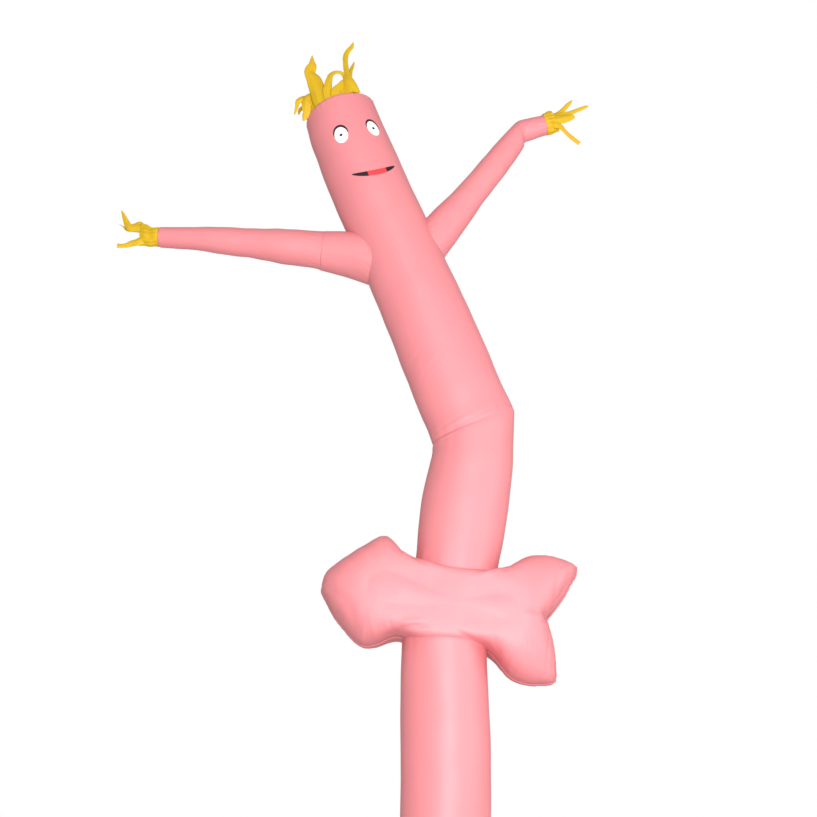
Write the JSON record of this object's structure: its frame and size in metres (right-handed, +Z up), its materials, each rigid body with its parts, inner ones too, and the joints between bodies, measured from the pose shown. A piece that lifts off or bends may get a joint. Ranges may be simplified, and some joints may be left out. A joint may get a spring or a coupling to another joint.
{
  "type": "inflatable air dancer",
  "caption": "Hollow nylon tube figure, blown up by air from below, with tapered arms, an arrow across its leg, streamers and a patched face",
  "frame": {"origin": "middle of the open mouth that the figure stands on, in the plane of its hem", "axes": "+Z up, along the figure; the face and the arrow's broad side look along -Y; +X towards the raised arm and the arrow's tail"},
  "size_m": [2.8884, 0.5046, 6.0895],
  "materials": {
    "pink_nylon": "satin ripstop nylon",
    "yellow_nylon": "satin ripstop nylon",
    "white_cloth": "matt sewn patch",
    "black_cloth": "matt sewn patch",
    "red_cloth": "matt sewn patch"
  },
  "bodies": {
    "root": {"leg_tube": "pink_nylon", "body_tube": "pink_nylon", "arrow_front": "pink_nylon", "arrow_back": "pink_nylon", "arrow_gusset_head": "pink_nylon", "arrow_gusset_tail": "pink_nylon", "arm_left_root": "pink_nylon", "arm_left": "pink_nylon", "arm_right": "pink_nylon", "cuff_left": "yellow_nylon", "cuff_right": "yellow_nylon", "fingers_left": "yellow_nylon", "fingers_right": "yellow_nylon", "crown": "yellow_nylon", "hair_streamers": "yellow_nylon", "eye_white_left": "white_cloth", "eye_white_right": "white_cloth", "pupil_left": "black_cloth", "pupil_right": "black_cloth", "lash_left": "black_cloth", "lash_right": "black_cloth", "mouth_black_left": "black_cloth", "mouth_black_right": "black_cloth", "mouth_red": "red_cloth"}
  },
  "joints": []
}
